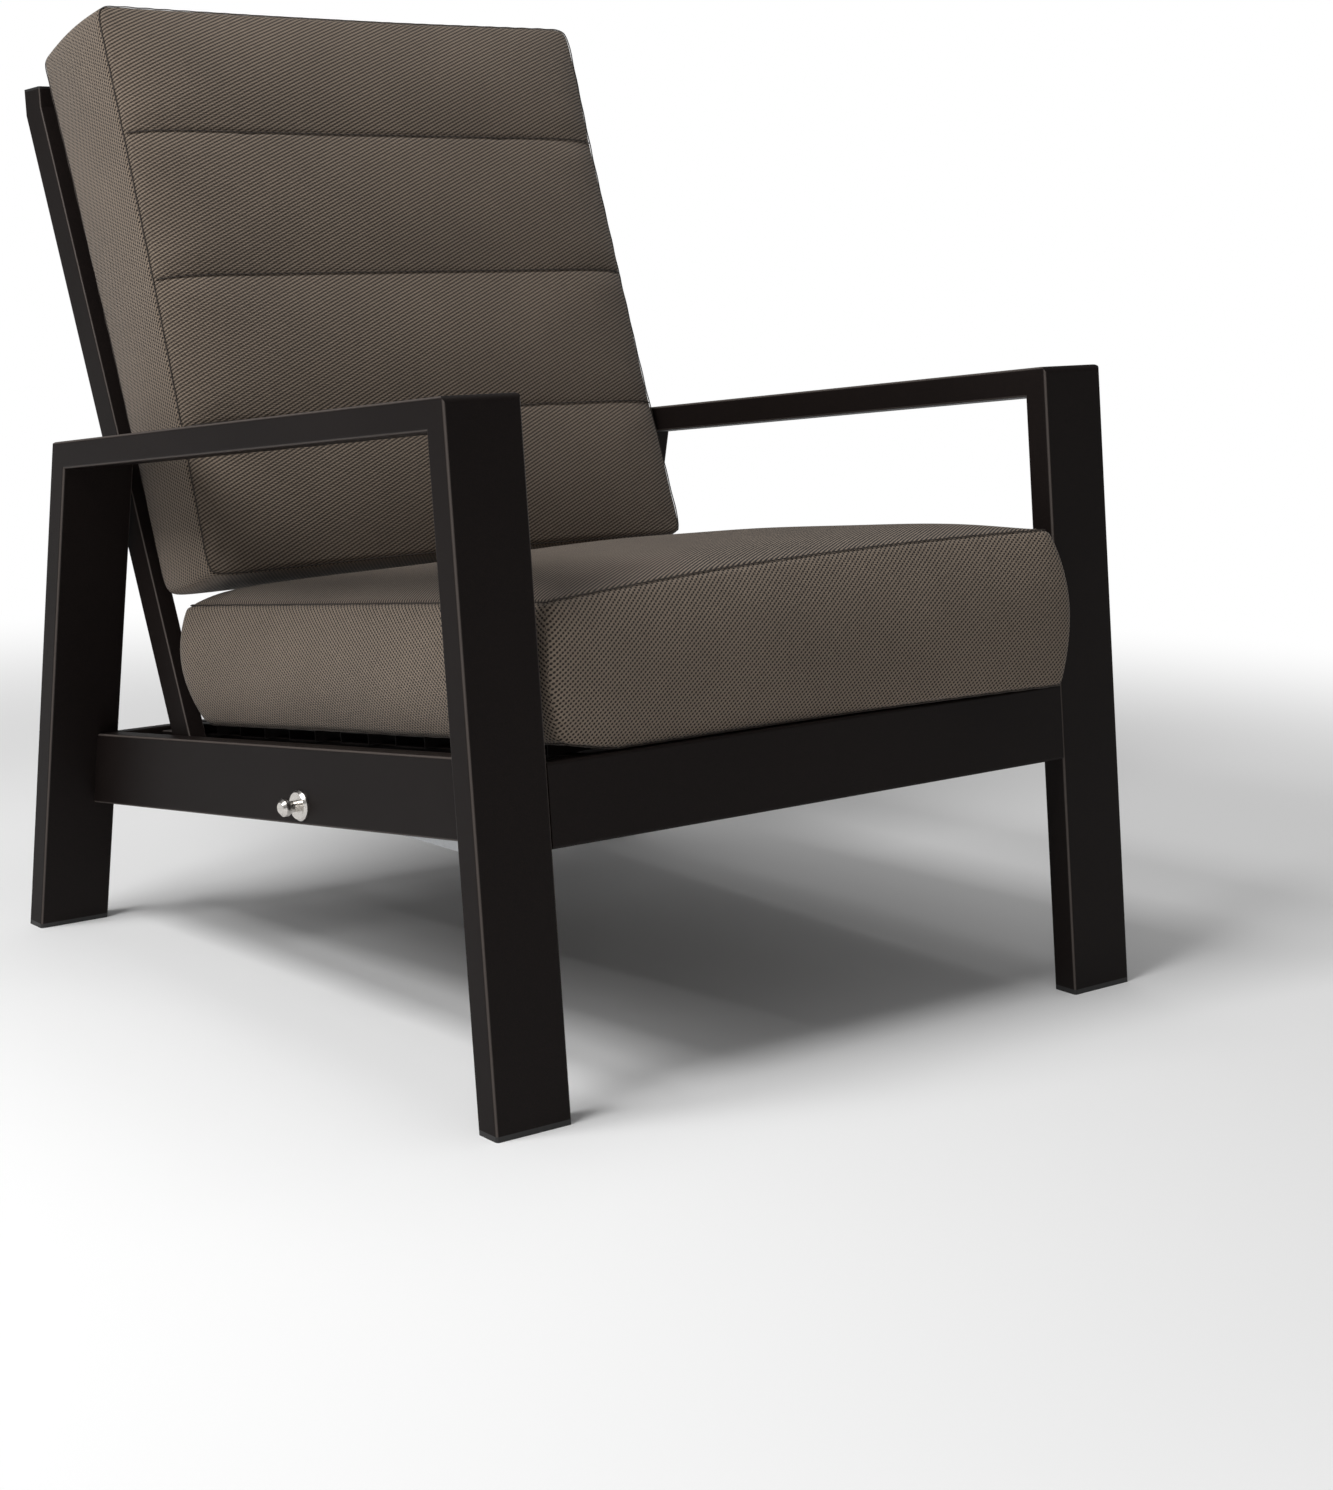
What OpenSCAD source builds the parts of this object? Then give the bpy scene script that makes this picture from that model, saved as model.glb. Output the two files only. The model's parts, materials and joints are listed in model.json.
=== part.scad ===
// Outdoor lounge chair: a flat-tube metal frame, a reclining slatted back and two boxed cushions.
// X runs across the chair, Y runs from the front to the back, Z runs up from the floor.

/* [Frame] */
// Overall width across the outer faces of the legs
overall_w = 795; // [600:5:1000]
// Width of the flat tube of the legs and arms
leg_w = 80; // [60:1:100]
// Thickness of the flat tube of the legs and arms
leg_t = 28; // [20:1:40]
// Depth on the floor, from the front of the front feet to the back of the rear feet
frame_depth = 870; // [780:5:1000]
// Height of the front upper corner of the arms
arm_front_h = 624; // [560:2:700]
// Backward lean of the front legs from vertical, degrees
front_rake = 7; // [4:0.25:10]
// Fall of the arms towards the back, degrees
arm_drop = 7.75; // [4:0.25:10]
// Forward lean of the rear legs from vertical, degrees
rear_lean = 9.75; // [6:0.25:13]
// Wall thickness of the leg and arm tubes
leg_wall = 3; // [2:0.5:4]
// Radius along the edges of the leg and arm tubes
leg_edge_r = 3; // [1:0.5:5]
// Radius of the upper corners, seen from the side
corner_r = 7; // [2:1:10]
// Thickness of the foot cap below the leg
foot_t = 5; // [3:0.5:10]
// Depth of the foot cap's plug inside the leg
foot_plug = 18; // [10:1:40]
// Clearance round a plug in its tube
plug_gap = 0.2; // [0.1:0.05:0.5]

/* [Rails] */
// Thickness of the rail tubes
rail_t = 25; // [22:0.5:30]
// Height of the rail tubes
rail_h = 75; // [60:1:90]
// Wall thickness of the rail tubes
rail_wall = 3; // [2:0.5:4]
// Radius along the edges of the rail tubes
rail_edge_r = 3; // [1:0.5:5]
// Height of the front rail's lower edge above the floor
rail_z = 238; // [220:1:260]
// Fall of the side rails towards the back, degrees
rail_drop = 7.6; // [5:0.1:9]
// Distance from the rear rail to the rear legs
rear_rail_inset = 10; // [4:1:16]

/* [Seat] */
// Height of the slats' upper face above the upper edge of the side rails
seat_rise = 8; // [4:0.5:12]
// Width of a seat slat
seat_slat_w = 50; // [40:1:60]
// Thickness of a seat slat
seat_slat_t = 12; // [10:1:15]
// Gap between the ends of the seat slats and the back's uprights
seat_slat_gap = 7.5; // [4:0.5:15]
// Place of the front slat's front edge, from the front rail
seat_slat_start = 12; // [8:1:20]
// Free space between the last slat's rear edge and the rear rail
seat_slat_end = 95; // [85:1:110]
// Width of the two bearers under the seat slats
bearer_w = 20; // [15:1:25]
// Height of the two bearers under the seat slats
bearer_h = 30; // [20:1:40]
// Distance from the ends of the seat slats to the middle of a bearer
bearer_inset = 24; // [20:1:60]
// Wall thickness of the bearers and of all slats
slat_wall = 1.5; // [1:0.25:2.5]
// Radius along the edges of the bearers and of all slats
slat_edge_r = 2; // [1:0.5:3]
// Diameter of the slat rivets' heads
rivet_head_d = 8; // [6:0.5:10]
// Height of the slat rivets' heads
rivet_head_h = 1.6; // [1:0.1:2]
// Diameter of the slat rivets' shanks
rivet_d = 4; // [3:0.5:5]

/* [Back] */
// Distance of the recline pivot in front of the rear feet's rear ends
pivot_inset = 218; // [210:1:225]
// Height of the recline pivot above the lower edge of the side rail
pivot_rise = 12.7; // [12:0.1:14]
// Lean of the back from vertical at its most upright, degrees
back_lean = 24.4; // [22:0.1:27]
// How far the back reclines, degrees
recline = 20; // [10:1:22]
// Depth of the back's uprights, front to back
upright_t = 35; // [30:1:40]
// Width of the back's uprights, across the chair
upright_w = 20; // [18:0.5:22]
// Free space between an upright and the side rail
upright_gap = 4; // [4:0.25:6]
// Length of an upright from the pivot to its upper bend
upright_len = 758; // [700:2:800]
// Length of the upper end above the bend
upright_tip = 22; // [15:1:40]
// Lean of the upper end from vertical, degrees
tip_lean = 6; // [0:1:12]
// Wall thickness of the uprights
upright_wall = 2.5; // [2:0.25:3]
// Thickness of the end caps on the uprights
cap_t = 2.5; // [2:0.5:4]
// Height of a back slat along the back
back_slat_w = 45; // [35:1:60]
// Thickness of a back slat
back_slat_t = 15; // [12:1:20]
// Distance of the lowest slat's middle from the pivot, along the back
back_slat_start = 265; // [250:1:290]
// Distance of the top slat's middle from the bend, along the back
back_slat_end = 45; // [30:1:60]
// Height of the tie bar that joins the uprights near the pivot
tie_w = 25; // [20:1:30]
// Distance of the tie bar from the pivot, along the back
tie_at = 150; // [140:1:160]

/* [Recline lock] */
// Place of the release button behind the front feet
knob_y = 398; // [360:1:430]
// Height of the release button above the lower edge of the side rail
knob_rise = 19; // [17:0.5:24]
// Distance from the pivot to the pin that draws the lock bar
link_r = 36; // [33:0.5:40]
// Height of the lock bar
bar_h = 20; // [17:0.5:22]
// Thickness of the lock bar
bar_t = 3; // [2.5:0.1:3.2]
// Length of the lock bar in front of the release button
bar_front = 246; // [200:1:260]
// Diameter of the pivot bolt
bolt_d = 10; // [8:0.5:12]
// Diameter of the pin that draws the lock bar
link_pin_d = 8; // [6:0.5:9]
// Diameter of the bolt and pin heads
bolt_head_d = 16; // [14:0.5:18]
// Height of the bolt and pin heads
bolt_head_h = 4; // [3:0.5:6]
// Radial clearance of pins and stems that turn or slide
run_gap = 0.05; // [0.02:0.01:0.09]
// Free space between parts that move side by side
side_gap = 0.3; // [0.2:0.05:0.5]
// Diameter of the threaded insert in the side rail
insert_d = 15; // [14:0.5:16]
// Length of the threaded insert in the side rail
insert_len = 14; // [8:1:16]

/* [Release button] */
// Diameter of the button's flange on the side rail
flange_d = 30; // [26:1:34]
// Thickness of the flange
flange_t = 4; // [3:0.5:6]
// Diameter of the button's neck
neck_d = 11; // [9:0.5:13]
// Diameter of the button's head
button_d = 17; // [15:0.5:20]
// Height of the button's head
button_h = 9; // [7:0.5:12]
// Free space that is left below the head, with the button pushed in
button_rest = 4; // [2:0.5:6]
// How far the button pushes in
button_travel = 5; // [3:0.5:6]
// Diameter of the button's stem
stem_d = 6; // [5:0.5:7]
// Diameter of the clamp nut on the stem
clamp_d = 19; // [16:0.5:20]
// Thickness of the clamp nut
clamp_t = 5; // [3:0.5:6]
// Wire diameter of the button spring
spring_wire = 1; // [0.8:0.1:1.2]
// Turns of the button spring
spring_turns = 5; // [4:1:6]

/* [Seat cushion] */
// Gap between the seat cushion's side seams and the legs
seat_side_gap = 11.5; // [8:0.5:25]
// Distance of the seat cushion's lower rear seam from the uprights' middle line, along the seat
seat_low_gap = 20; // [19:0.5:40]
// Distance of the seat cushion's upper rear seam from the uprights' middle line, along the seat
seat_top_gap = 35; // [31:0.5:50]
// Height of the seat cushion's boxing
seat_cushion_h = 124; // [100:1:124]
// Rise of the crown above the upper seam
seat_crown = 31; // [15:1:31]
// How much lower the crown lies towards the rear seam
seat_rear_fall = 12; // [8:1:16]
// How much higher the front seam lies in the middle than at the corners
seat_seam_rise = 12; // [0:1:16]
// How far the cushion's front seam stands in front of the front legs' rear faces
seat_cushion_front = 24; // [10:1:28]

/* [Back cushion] */
// Gap between the back cushion's side seams and the legs
back_side_gap = 13; // [12:0.5:30]
// Length of the back cushion at its seams
back_cushion_len = 606; // [560:2:612]
// Thickness of the back cushion's boxing at its lower end
back_cushion_low_t = 94; // [85:1:110]
// Thickness of the back cushion's boxing at its upper end
back_cushion_top_t = 133; // [100:1:140]
// Rise of the front crown above its seam
back_crown = 26; // [15:1:35]
// Distance from the slats to the rear seam, at the cushion's lower end
back_rear_low = 2; // [1:1:16]
// Distance from the slats to the rear seam, at the cushion's upper end
back_rear_top = 9; // [9:1:30]
// How much higher the rear seam lies than the front seam
back_rear_shift = 8; // [0:1:12]
// Distance of the cushion's lower seam from the pivot, along the back
back_cushion_start = 198; // [198:1:210]
// Distance between the sewn channels
channel_pitch = 155; // [140:1:160]
// Distance from the lower seam to the first channel
channel_first = 155; // [120:1:160]
// Depth of the sewn channels
channel_depth = 11; // [5:1:14]
// Half the width of a sewn channel
channel_half_w = 16; // [10:1:24]
// Bulge of the cushions' boxing
side_bulge = 7; // [3:0.5:8]
// How far the cushions' sides draw in between their corners
draw_in = 3; // [0:1:8]
// Gap between a cushion and what carries it
soft_gap = 0.4; // [0.3:0.1:1]

/* [Hidden] */
$fn = 48;
// Counts that the list of nodes is written for
seat_slats = 7;
back_slats = 5;
channels = 3;
// Reach of the plain outlines that cut tubes to length
big = 2000;
// How far a cutting shape runs past the face that it cuts
past = 1;

frame_colour = "#2e2a29";
plastic_colour = "#161616";
steel_colour = "#b9bbbd";
fabric_colour = "#6f665b";

// Points in the side view are [y, z], and angles are degrees up from the Y axis
function along(p, a, d) = p + d * [cos(a), sin(a)];
function inward(p, a, d) = p + d * [sin(a), -cos(a)];
function cross2(u, v) = u[0] * v[1] - u[1] * v[0];
function meet(p, a, q, b) =
    along(p, a, cross2(q - p, [cos(b), sin(b)]) / cross2([cos(a), sin(a)], [cos(b), sin(b)]));
function angle_to(p, q) = atan2(q[1] - p[1], q[0] - p[0]);

// Side frame: front leg going up, arm going back, rear leg going down, its inside on the right
front_a = 90 - front_rake;
arm_a = -arm_drop;
rear_a = rear_lean - 90;
front_foot = [0, 0];
rear_foot = [frame_depth, 0];
front_corner = [arm_front_h * tan(front_rake), arm_front_h];
rear_corner = meet(front_corner, arm_a, rear_foot, rear_a);
front_in = inward(front_foot, front_a, leg_t);
arm_in = inward(front_corner, arm_a, leg_t);
rear_in = inward(rear_foot, rear_a, leg_t);
front_mitre = angle_to(front_corner, meet(front_in, front_a, arm_in, arm_a));
rear_mitre = angle_to(rear_corner, meet(arm_in, arm_a, rear_in, rear_a));
front_mid = along(inward(front_foot, front_a, leg_t / 2), front_a, -leg_t);
arm_mid = along(inward(front_corner, arm_a, leg_t / 2), arm_a, -3 * leg_t);
rear_mid = along(inward(rear_corner, rear_a, leg_t / 2), rear_a, -3 * leg_t);
front_round = meet(
    inward(front_foot, front_a, corner_r), front_a, inward(front_corner, arm_a, corner_r), arm_a
);
rear_round = meet(
    inward(front_corner, arm_a, corner_r), arm_a, inward(rear_foot, rear_a, corner_r), rear_a
);
leg_mid_x = (overall_w - leg_w) / 2;
leg_in_x = overall_w / 2 - leg_w;

// Side rail: its lower edge starts where the front rail's lower edge meets the front leg's rear face
rail_a = -rail_drop;
rail_start = meet([0, rail_z], 0, front_in, front_a);
rail_len = norm(meet(rail_start, rail_a, rear_in, rear_a) - rail_start);
rail_mid_start = inward(along(rail_start, rail_a, -rail_h), rail_a, -rail_h / 2);
rail_mid_x = leg_in_x + rail_t / 2;
rail_out_x = leg_in_x + rail_t;
function rail_low(y) = rail_start[1] - (y - rail_start[0]) * tan(rail_drop);
front_rail_low = meet([0, rail_z], 0, front_foot, front_a);
front_rail_mid = inward(along(front_rail_low, front_a, rail_h / 2), front_a, rail_t / 2);
rear_rail_at = rail_len - rear_rail_inset - rail_t;
rear_rail_mid = inward(along(rail_start, rail_a, rear_rail_at + rail_t / 2), rail_a, -rail_h / 2);

// Seat plane: the upper face of the slats, parallel to the side rails
seat_origin = inward(rail_start, rail_a, -(rail_h + seat_rise));
function seat_at(s, up) = inward(along(seat_origin, rail_a, s), rail_a, -up);
seat_slat_len = 2 * (leg_in_x - upright_gap - upright_w - seat_slat_gap);
bearer_x = seat_slat_len / 2 - bearer_inset;
seat_slat_pitch =
    (rear_rail_at - seat_slat_start - seat_slat_end - seat_slat_w) / (seat_slats - 1);

// Back: places up its uprights from the pivot, and forward of their middle
pivot_y = frame_depth - pivot_inset;
pivot = [pivot_y, rail_low(pivot_y) + pivot_rise];
back_a = 90 - back_lean;
function back_at(up, forward) = inward(along(pivot, back_a, up), back_a, -forward);
upright_in_x = leg_in_x - upright_gap - upright_w;
upright_x = upright_in_x + upright_w / 2;
bend = along(pivot, back_a, upright_len);
tip_a = 90 - tip_lean;
bend_mitre = (back_a + tip_a) / 2 - 90;
block_w = upright_w - 2 * upright_wall;
block_t = upright_t - 2 * (upright_wall + plug_gap);
slat_span = 2 * upright_in_x;
back_slat_pitch = (upright_len - back_slat_end - back_slat_start) / (back_slats - 1);

// Lock bar: from its pin on the upright to its free front end, past the button's stem
link_pin = along(pivot, back_a, link_r);
link_reclined = along(pivot, back_a - recline, link_r);
knob = [knob_y, rail_low(knob_y) + knob_rise];
bar_a = angle_to(link_pin, knob);
slot_gap = 0.6;
slot_w = stem_d + 2 * slot_gap;
slot_near = norm(knob - link_pin) - slot_gap;
slot_far = norm(knob - link_reclined) + slot_gap;
bar_len = norm(knob - link_pin) + bar_front;
bar_x = leg_in_x - upright_gap / 2;

// Release button: where its neck ends inside the rail, and the outer face of its clamp nut
neck_end_x = rail_mid_x + spring_wire;
clamp_x = bar_x - bar_t / 2 - side_gap;
button_bevel = button_h / 6;
button_out = button_travel + button_rest;

// Seat cushion: between the legs, and from its front seam almost to the back's middle line
function back_along_seat(up) =
    let (start = seat_at(0, up))
    norm(meet(start, rail_a, pivot, back_a) - start);
seat_rear_low = back_along_seat(soft_gap) - seat_low_gap;
seat_rear_top = back_along_seat(soft_gap + seat_cushion_h) - seat_top_gap;
seat_cushion_len = seat_cushion_front + seat_rear_low;
seat_rear_lean = seat_rear_top - seat_rear_low;
seat_cushion_w = 2 * (leg_in_x - seat_side_gap);
back_cushion_w = 2 * (leg_in_x - back_side_gap);

// Cushion shapes: how square the plan corners and how flat the crowns are
corner_power = 45;
crown_power = 7;
side_rings = 2;

// Middle of the chair's whole depth, which lies on y = 0
depth_all = inward(along(bend, tip_a, upright_tip + cap_t), tip_a, upright_t / 2)[0];
mid_y = depth_all / 2;

// A side-view outline as a slab between two x positions
module slab(x0, x1) {
    translate([x0, 0, 0]) rotate([90, 0, 90]) linear_extrude(x1 - x0) children();
}

// The same slab, drawn from a side-view point with its outline turned by an angle
module slab_at(x0, x1, p, a) {
    translate([x0, p[0], p[1]]) rotate([a, 0, 0]) rotate([90, 0, 90]) linear_extrude(x1 - x0) children();
}

// Strip with a round end at its start, and at its end too where asked
module round_strip(len, w, both) {
    circle(d = w);
    translate([0, -w / 2]) square([len, w]);
    if (both) translate([len, 0]) circle(d = w);
}

// The half of the side view to the right of a line
module half(p, a) {
    near = along(p, a, -big);
    far = along(p, a, big);
    polygon([near, far, inward(far, a, big), inward(near, a, big)]);
}

// Rectangle with true round corners, centred
module round_rect(w, t, r) {
    square([w - 2 * r, t], center = true);
    square([w, t - 2 * r], center = true);
    for (x = [-1, 1], y = [-1, 1])
        translate([x * (w / 2 - r), y * (t / 2 - r)]) circle(r);
}

// Wall of a round rectangle
module round_ring(w, t, r, wall) {
    difference() {
        round_rect(w, t, r);
        round_rect(w - 2 * wall, t - 2 * wall, max(r - wall, 0.5));
    }
}

// Puts an outline on the side-view line from p along angle a, as a straight length
module run(x, p, a, len) {
    translate([x, p[0], p[1]]) rotate([a - 90, 0, 0]) linear_extrude(len) children();
}

// Puts an outline across the chair, centred on a side-view point and turned by an angle
module across(p, a, len) {
    translate([-len / 2, p[0], p[1]]) rotate([a, 0, 0]) rotate([90, 0, 90]) linear_extrude(len) children();
}

// Round bar along X between two x positions, at a side-view point
module pin(x0, x1, p, d) {
    translate([min(x0, x1), p[0], p[1]]) rotate([0, 90, 0]) cylinder(h = abs(x1 - x0), d = d);
}

// The left side is drawn at negative x, and the right side is its mirror image
module left() {
    translate([0, -mid_y, 0]) children();
}

module right() {
    translate([0, -mid_y, 0]) mirror([1, 0, 0]) children();
}

// What lies outside the round of a corner whose edges run at angles a and b
module corner_waste(c, centre, a, b) {
    difference() {
        polygon([
            centre, inward(centre, a, -(corner_r + past)),
            c + (c - centre), inward(centre, b, -(corner_r + past))
        ]);
        translate(centre) circle(corner_r);
    }
}

// Side frame seen from the side, with its two round upper corners
module frame_outline() {
    difference() {
        polygon([front_foot, front_corner, rear_corner, rear_foot]);
        corner_waste(front_corner, front_round, front_a, arm_a);
        corner_waste(rear_corner, rear_round, arm_a, rear_a);
    }
}

module leg_section() {
    round_ring(leg_w, leg_t, leg_edge_r, leg_wall);
}

// Front leg, from its foot cap to the mitre at the arm
module front_leg() {
    color(frame_colour) intersection() {
        run(-leg_mid_x, front_mid, front_a, 2 * arm_front_h) leg_section();
        slab(-overall_w / 2 - past, -leg_in_x + past) intersection() {
            frame_outline();
            half([0, foot_t], 180);
            half(front_corner, front_mitre);
        }
    }
}

// Rear leg, from the mitre at the arm to its foot cap
module rear_leg() {
    color(frame_colour) intersection() {
        run(-leg_mid_x, rear_mid, rear_a, 2 * arm_front_h) leg_section();
        slab(-overall_w / 2 - past, -leg_in_x + past) intersection() {
            frame_outline();
            half([0, foot_t], 180);
            half(rear_corner, rear_mitre + 180);
        }
    }
}

// Arm, mitred to both legs
module armrest() {
    color(frame_colour) intersection() {
        run(-leg_mid_x, arm_mid, arm_a, 2 * frame_depth) leg_section();
        slab(-overall_w / 2 - past, -leg_in_x + past) intersection() {
            frame_outline();
            half(front_corner, front_mitre + 180);
            half(rear_corner, rear_mitre);
        }
    }
}

// Foot cap: a plate under the leg's end, with a plug inside the tube
module foot_cap(mid, a) {
    color(plastic_colour) {
        intersection() {
            run(-leg_mid_x, mid, a, 2 * arm_front_h) round_rect(leg_w, leg_t, leg_edge_r);
            slab(-overall_w / 2 - past, -leg_in_x + past) translate([-big, 0]) square([2 * big, foot_t]);
        }
        intersection() {
            run(-leg_mid_x, mid, a, 2 * arm_front_h)
                round_rect(leg_w - 2 * (leg_wall + plug_gap), leg_t - 2 * (leg_wall + plug_gap), 1);
            slab(-overall_w / 2 - past, -leg_in_x + past)
                translate([-big, foot_t - past]) square([2 * big, foot_plug + past]);
        }
    }
}

module rail_section() {
    round_ring(rail_t, rail_h, rail_edge_r, rail_wall);
}

// Side rail, between the two legs of a side, bored for the button and the pivot insert
module side_rail() {
    color(frame_colour) difference() {
        intersection() {
            run(-rail_mid_x, rail_mid_start, rail_a, 2 * frame_depth) rail_section();
            slab(-overall_w / 2, 0) intersection() {
                half(front_in, front_a);
                half(rear_in, rear_a);
            }
        }
        pin(-overall_w / 2, -rail_mid_x, knob, neck_d + 2 * run_gap);
        pin(-rail_mid_x, 0, knob, stem_d + 2 * run_gap);
        pin(-rail_mid_x, 0, pivot, insert_d);
    }
}

// Front rail, between the two front legs and flush with their front faces
module front_rail() {
    color(frame_colour) across(front_rail_mid, front_a - 90, 2 * leg_in_x) rail_section();
}

// Rear rail, between the two side rails
module rear_rail() {
    color(frame_colour) across(rear_rail_mid, rail_a, 2 * leg_in_x) rail_section();
}

// Bearer under the seat slats, from the front rail to the rear rail
module seat_bearer() {
    color(frame_colour) intersection() {
        run(-bearer_x, seat_at(-frame_depth / 2, -seat_slat_t - bearer_h / 2), rail_a, 2 * frame_depth)
            round_ring(bearer_w, bearer_h, slat_edge_r, slat_wall);
        slab(-overall_w / 2, 0) intersection() {
            half(inward(front_foot, front_a, rail_t), front_a);
            half(along(rail_start, rail_a, rear_rail_at), rail_a - 90);
        }
    }
}

function seat_slat_s(i) = seat_slat_start + seat_slat_w / 2 + (i - 1) * seat_slat_pitch;

// One seat slat, riveted down on both bearers
module seat_slat(i) {
    color(frame_colour) difference() {
        across(seat_at(seat_slat_s(i), -seat_slat_t / 2), rail_a, seat_slat_len)
            round_ring(seat_slat_w, seat_slat_t, slat_edge_r, slat_wall);
        for (side = [-1, 1])
            rivet_bore(i, side);
    }
}

// A rivet's place in the side view, on the lower face of a slat
function rivet_at(i) = seat_at(seat_slat_s(i), -seat_slat_t);

// Hole for a rivet in the slat's lower wall
module rivet_bore(i, side) {
    translate([side * bearer_x, rivet_at(i)[0], rivet_at(i)[1]])
        rotate([rail_a, 0, 0]) translate([0, 0, -past]) cylinder(h = slat_wall + 2 * past, d = rivet_d);
}

// Rivets that hold the slats: a head on the slat's lower wall and a shank down to the bearer
module seat_slat_rivets() {
    color(steel_colour) for (i = [1:seat_slats], side = [-1, 1])
        translate([side * bearer_x, rivet_at(i)[0], rivet_at(i)[1]])
            rotate([rail_a, 0, 0]) {
                cylinder(h = slat_wall, d = rivet_d);
                translate([0, 0, slat_wall]) cylinder(h = rivet_head_h, d = rivet_head_d);
            }
}

// Upright of the back: round at the pivot, straight to the bend, then a short steeper end
module back_upright() {
    color(frame_colour) difference() {
        upright_body(0);
        upright_body(upright_wall);
        pin(-overall_w / 2, 0, pivot, bolt_d + 2 * run_gap);
        pin(-overall_w / 2, 0, link_pin, link_pin_d);
    }
}

// An upright's solid, less a wall all round
module upright_body(wall) {
    intersection() {
        run(-upright_x, along(pivot, back_a, -upright_t), back_a, upright_len + 2 * upright_t)
            upright_section(wall);
        slab(-overall_w / 2, 0) intersection() {
            half(bend, bend_mitre);
            union() {
                translate(pivot) circle(d = upright_t - 2 * wall);
                translate(pivot) rotate(back_a) translate([0, -upright_t])
                    square([upright_len + upright_t, 2 * upright_t]);
            }
        }
    }
    intersection() {
        run(-upright_x, along(bend, tip_a, -upright_t), tip_a,
            upright_t + upright_tip + (wall > 0 ? past : 0))
            upright_section(wall);
        slab(-overall_w / 2, 0) half(bend, bend_mitre + 180);
    }
}

// Section of an upright, less a wall all round
module upright_section(wall) {
    round_rect(upright_w - 2 * wall, upright_t - 2 * wall, wall > 0 ? 0.5 : slat_edge_r);
}

// Plug and cover at the top of an upright
module upright_cap() {
    color(plastic_colour) {
        run(-upright_x, along(bend, tip_a, upright_tip), tip_a, cap_t)
            round_rect(upright_w, upright_t, slat_edge_r);
        run(-upright_x, along(bend, tip_a, upright_tip / 3), tip_a, 2 * upright_tip / 3)
            round_rect(block_w - 2 * plug_gap, block_t, 1);
    }
}

function back_slat_up(i) = back_slat_start + (i - 1) * back_slat_pitch;

// One slat of the back, between the uprights and flush with their front faces
module back_slat(i) {
    color(frame_colour) across(back_at(back_slat_up(i), (upright_t - back_slat_t) / 2), back_a, slat_span)
        round_ring(back_slat_w, back_slat_t, slat_edge_r, slat_wall);
}

// Tie bar between the uprights, behind the seat cushion
module back_tie_bar() {
    color(frame_colour) across(back_at(tie_at, 0), back_a, slat_span)
        round_ring(tie_w, back_slat_t, slat_edge_r, slat_wall);
}

// Bearing block in the upright's lower end, bored for the pivot bolt and the link pin
module pivot_block() {
    color(plastic_colour) difference() {
        slab_at(-upright_x - block_w / 2 + plug_gap, -upright_x + block_w / 2 - plug_gap, pivot, back_a)
            round_strip(link_r + link_pin_d, block_t, false);
        pin(-overall_w / 2, 0, pivot, bolt_d + 2 * run_gap);
        pin(-overall_w / 2, 0, link_pin, link_pin_d);
    }
}

// Pivot bolt: its head inside the upright, its shank in the side rail's insert
module pivot_bolt() {
    color(steel_colour) {
        pin(-leg_in_x - insert_len, -upright_in_x + side_gap, pivot, bolt_d);
        pin(-upright_in_x + side_gap, -upright_in_x + side_gap + bolt_head_h, pivot, bolt_head_d);
    }
}

// Washer between the side rail and the upright
module pivot_washer() {
    color(plastic_colour) difference() {
        pin(-leg_in_x, -leg_in_x + upright_gap - side_gap, pivot, bolt_head_d);
        pin(-leg_in_x - past, -leg_in_x + upright_gap + past, pivot, bolt_d);
    }
}

// Threaded insert in the side rail's inner wall
module rail_insert() {
    color(steel_colour) difference() {
        pin(-leg_in_x - insert_len, -leg_in_x, pivot, insert_d);
        pin(-leg_in_x - insert_len - past, -leg_in_x + past, pivot, bolt_d);
    }
}

// Lock bar: flat, round at both ends, bored for the link pin and slotted for the stem
module lock_bar() {
    color(steel_colour) difference() {
        slab_at(-bar_x - bar_t / 2, -bar_x + bar_t / 2, link_pin, bar_a) round_strip(bar_len, bar_h, true);
        pin(-overall_w / 2, 0, link_pin, link_pin_d + 2 * run_gap);
        slab_at(-bar_x - bar_t, -bar_x + bar_t, link_pin, bar_a)
            translate([slot_near, 0]) round_strip(slot_far - slot_near, slot_w, true);
    }
}

// Pin that joins the lock bar to the upright, headed on the upright's inner side
module link_pin_piece() {
    color(steel_colour) {
        pin(-bar_x - bar_t / 2, -upright_in_x, link_pin, link_pin_d);
        pin(-upright_in_x, -upright_in_x + bolt_head_h, link_pin, bolt_head_d);
    }
}

// Flange that guides the button's neck on the side rail's outer face
module button_flange() {
    color(steel_colour) difference() {
        translate([-rail_out_x, knob[0], knob[1]]) rotate([0, -90, 0]) rotate_extrude()
            polygon([
                [0, 0], [flange_d / 2, 0], [flange_d / 2, flange_t / 3],
                [flange_d / 2 - flange_t / 2, flange_t], [0, flange_t]
            ]);
        pin(-overall_w / 2, 0, knob, neck_d + 2 * run_gap);
    }
}

// Release button: domed head, neck through the flange, and stem through the rail and the lock bar
module release_button() {
    color(steel_colour) {
        translate([-rail_out_x - flange_t - button_out, knob[0], knob[1]])
            rotate([0, -90, 0]) rotate_extrude()
            polygon([
                [0, 0], [button_d / 2 - button_bevel, 0], [button_d / 2, button_bevel],
                [button_d / 2, button_h - 2 * button_bevel], [button_d / 2 - 2 * button_bevel, button_h],
                [0, button_h]
            ]);
        pin(-rail_out_x - flange_t - button_out, -neck_end_x, knob, neck_d);
        pin(-neck_end_x, -clamp_x + clamp_t, knob, stem_d);
    }
}

// Clamp nut on the stem, inside the lock bar
module clamp_nut() {
    color(steel_colour) difference() {
        pin(-clamp_x, -clamp_x + clamp_t, knob, clamp_d);
        pin(-clamp_x - past, -clamp_x + clamp_t + past, knob, stem_d);
    }
}

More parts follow.
